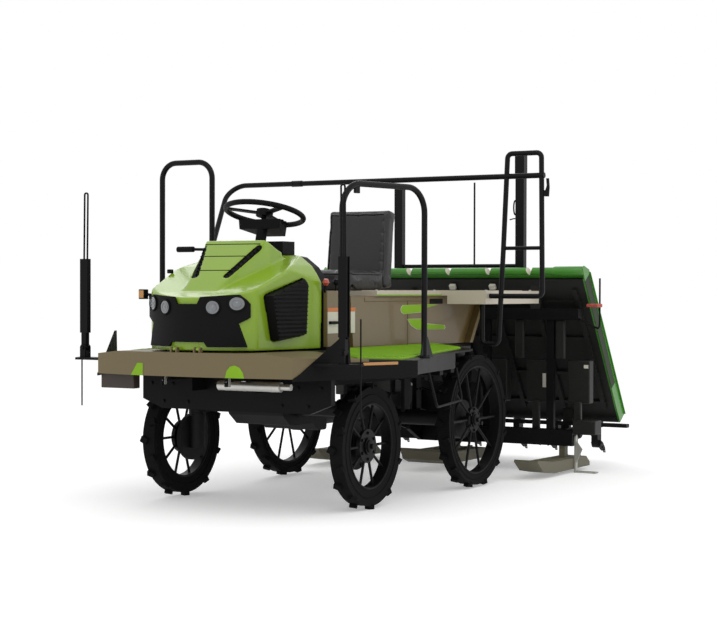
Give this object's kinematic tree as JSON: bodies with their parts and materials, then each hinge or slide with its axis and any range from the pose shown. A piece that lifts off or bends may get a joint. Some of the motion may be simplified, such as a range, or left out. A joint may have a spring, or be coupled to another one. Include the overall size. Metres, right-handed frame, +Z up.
{
  "type": "riding rice transplanter",
  "caption": "Riding rice transplanter with a round lime bonnet, thin lugged wheels, guard rails and a rear planting unit under a sloping seedling tray.",
  "frame": {"origin": "on the ground under the middle of the machine's overall box", "axes": "+Z up, the machine's front toward -Y, the operator's left toward +X"},
  "size_m": [2.1953, 3.8398, 2.043],
  "materials": {
    "bonnet_green": "gloss",
    "side_bronze": "satin pearl",
    "pale_trim": "satin",
    "black_plastic": "matte",
    "mat_green": "ribbed rubber mat",
    "frame_black": "satin",
    "rail_grey": "satin",
    "silver_steel": "satin",
    "cast_grey": "painted",
    "wheel_black": "satin",
    "tyre_rubber": "matte",
    "seat_vinyl": "vinyl",
    "lamp_glass": "clear",
    "tray_green": "satin",
    "tray_black": "satin",
    "float_olive": "matte",
    "stand_grey": "zinc"
  },
  "bodies": {
    "chassis": {"main_frame": "frame_black", "frame_crossings": "frame_black", "engine": "cast_grey", "front_axle": "cast_grey", "rear_axle": "cast_grey", "platform": "frame_black", "side_skirts": "black_plastic", "floor_mats": "mat_green", "boarding_hoops": "rail_grey", "dash_console": "black_plastic", "seat_fairing": "side_bronze", "rear_deck": "pale_trim", "seat_cushion": "seat_vinyl", "seat_back": "seat_vinyl", "guard_rail": "rail_grey", "boarding_steps": "frame_black", "muffler": "silver_steel", "marker_brackets": "frame_black"},
    "bonnet": {"bonnet": "bonnet_green", "bonnet_inserts": "black_plastic", "headlamps": "lamp_glass"},
    "steering_wheel": {"steering_wheel": "black_plastic"},
    "knuckle_left": {"knuckle_left": "cast_grey"},
    "knuckle_right": {"knuckle_right": "cast_grey"},
    "front_wheel_left": {"front_tyre_left": "tyre_rubber", "front_wheel_left": "wheel_black"},
    "front_wheel_right": {"front_tyre_right": "tyre_rubber", "front_wheel_right": "wheel_black"},
    "rear_wheel_left": {"rear_tyre_left": "tyre_rubber", "rear_wheel_left": "wheel_black"},
    "rear_wheel_right": {"rear_tyre_right": "tyre_rubber", "rear_wheel_right": "wheel_black"},
    "marker_left": {"marker_left": "frame_black"},
    "marker_right": {"marker_right": "frame_black"},
    "lower_links": {"lower_links": "frame_black"},
    "upper_link": {"upper_link": "frame_black"},
    "ram_barrel": {"ram_barrel": "frame_black"},
    "ram_rod": {"ram_rod": "silver_steel"},
    "planter": {"planting_frame": "frame_black", "planting_cases": "cast_grey", "floats": "float_olive"},
    "tray": {"seedling_tray": "tray_green", "tray_frame": "tray_black", "tray_posts": "rail_grey"},
    "planting_rotor_1": {"planting_rotor_1": "cast_grey"},
    "planting_rotor_2": {"planting_rotor_2": "cast_grey"},
    "planting_rotor_3": {"planting_rotor_3": "cast_grey"},
    "parking_stand_left": {"parking_stand_left": "stand_grey"},
    "parking_stand_right": {"parking_stand_right": "stand_grey"}
  },
  "joints": [
    {"name": "kingpin_left", "type": "hinge", "parent": "chassis", "child": "knuckle_left", "pos_m": [0.498, -1.1, 0.4], "axis": [0, 0, 1], "range_deg": [-45, 45]},
    {"name": "kingpin_right", "type": "hinge", "parent": "chassis", "child": "knuckle_right", "pos_m": [-0.498, -1.1, 0.4], "axis": [0, 0, 1], "range_deg": [-45, 45]},
    {"name": "steering_turn", "type": "hinge", "parent": "chassis", "child": "steering_wheel", "pos_m": [0, -1.17, 1.58], "axis": [0, 0.2588, 0.9659], "range_deg": [-450, 450]},
    {"name": "front_spin_left", "type": "hinge", "parent": "knuckle_left", "child": "front_wheel_left", "pos_m": [0.6, -1.1, 0.335], "axis": [1, 0, 0], "continuous": true},
    {"name": "front_spin_right", "type": "hinge", "parent": "knuckle_right", "child": "front_wheel_right", "pos_m": [-0.6, -1.1, 0.335], "axis": [1, 0, 0], "continuous": true},
    {"name": "rear_spin_left", "type": "hinge", "parent": "chassis", "child": "rear_wheel_left", "pos_m": [0.65, 0.085, 0.4], "axis": [1, 0, 0], "continuous": true},
    {"name": "rear_spin_right", "type": "hinge", "parent": "chassis", "child": "rear_wheel_right", "pos_m": [-0.65, 0.085, 0.4], "axis": [1, 0, 0], "continuous": true},
    {"name": "bonnet_hinge", "type": "hinge", "parent": "chassis", "child": "bonnet", "pos_m": [0, -1.9, 0.862], "axis": [1, 0, 0], "range_deg": [0, 60]},
    {"name": "marker_fold_left", "type": "hinge", "parent": "chassis", "child": "marker_left", "pos_m": [0.812, -1.7, 0.85], "axis": [0, 1, 0], "range_deg": [0, 95]},
    {"name": "marker_fold_right", "type": "hinge", "parent": "chassis", "child": "marker_right", "pos_m": [-0.812, -1.7, 0.85], "axis": [0, -1, 0], "range_deg": [0, 95]},
    {"name": "lift", "type": "hinge", "parent": "chassis", "child": "lower_links", "pos_m": [0, 0.23, 0.42], "axis": [1, 0, 0], "range_deg": [0, 39]},
    {"name": "top_link_turn", "type": "hinge", "parent": "chassis", "child": "upper_link", "pos_m": [0, 0.23, 0.66], "axis": [1, 0, 0], "range_deg": [0, 39]},
    {"name": "ram_swing", "type": "hinge", "parent": "chassis", "child": "ram_barrel", "pos_m": [0, 0.05, 0.845], "axis": [1, 0, 0], "range_deg": [0, 23.7]},
    {"name": "ram_stroke", "type": "slide", "parent": "ram_barrel", "child": "ram_rod", "axis": [0, 0.8986, -0.4388], "range_m": [-0.0856, 0]},
    {"name": "planter_level", "type": "hinge", "parent": "lower_links", "child": "planter", "pos_m": [0, 0.89025, 0.27966], "axis": [1, 0, 0], "range_deg": [-39, 0]},
    {"name": "tray_shift", "type": "slide", "parent": "planter", "child": "tray", "axis": [1, 0, 0], "range_m": [-0.14, 0.14]},
    {"name": "rotor_spin_1", "type": "hinge", "parent": "planter", "child": "planting_rotor_1", "pos_m": [-0.58, 1.85, 0.192], "axis": [1, 0, 0], "continuous": true},
    {"name": "rotor_spin_2", "type": "hinge", "parent": "planter", "child": "planting_rotor_2", "pos_m": [0, 1.85, 0.192], "axis": [1, 0, 0], "continuous": true},
    {"name": "rotor_spin_3", "type": "hinge", "parent": "planter", "child": "planting_rotor_3", "pos_m": [0.58, 1.85, 0.192], "axis": [1, 0, 0], "continuous": true},
    {"name": "stand_fold_left", "type": "hinge", "parent": "planter", "child": "parking_stand_left", "pos_m": [0.861, 1.15, 0.222], "axis": [1, 0, 0], "range_deg": [0, 90]},
    {"name": "stand_fold_right", "type": "hinge", "parent": "planter", "child": "parking_stand_right", "pos_m": [-0.861, 1.15, 0.222], "axis": [1, 0, 0], "range_deg": [0, 90]}
  ],
  "couplings": [
    {"joint": "kingpin_right", "follows": "kingpin_left", "ratio": 1},
    {"joint": "steering_turn", "follows": "kingpin_left", "ratio": 10},
    {"joint": "top_link_turn", "follows": "lift", "ratio": 1},
    {"joint": "planter_level", "follows": "lift", "ratio": -1},
    {"joint": "ram_swing", "follows": "lift", "ratio": 0.5998},
    {"joint": "ram_stroke", "follows": "lift", "m_per_rad": -0.12286},
    {"joint": "rotor_spin_2", "follows": "rotor_spin_1", "ratio": 1},
    {"joint": "rotor_spin_3", "follows": "rotor_spin_1", "ratio": 1}
  ]
}
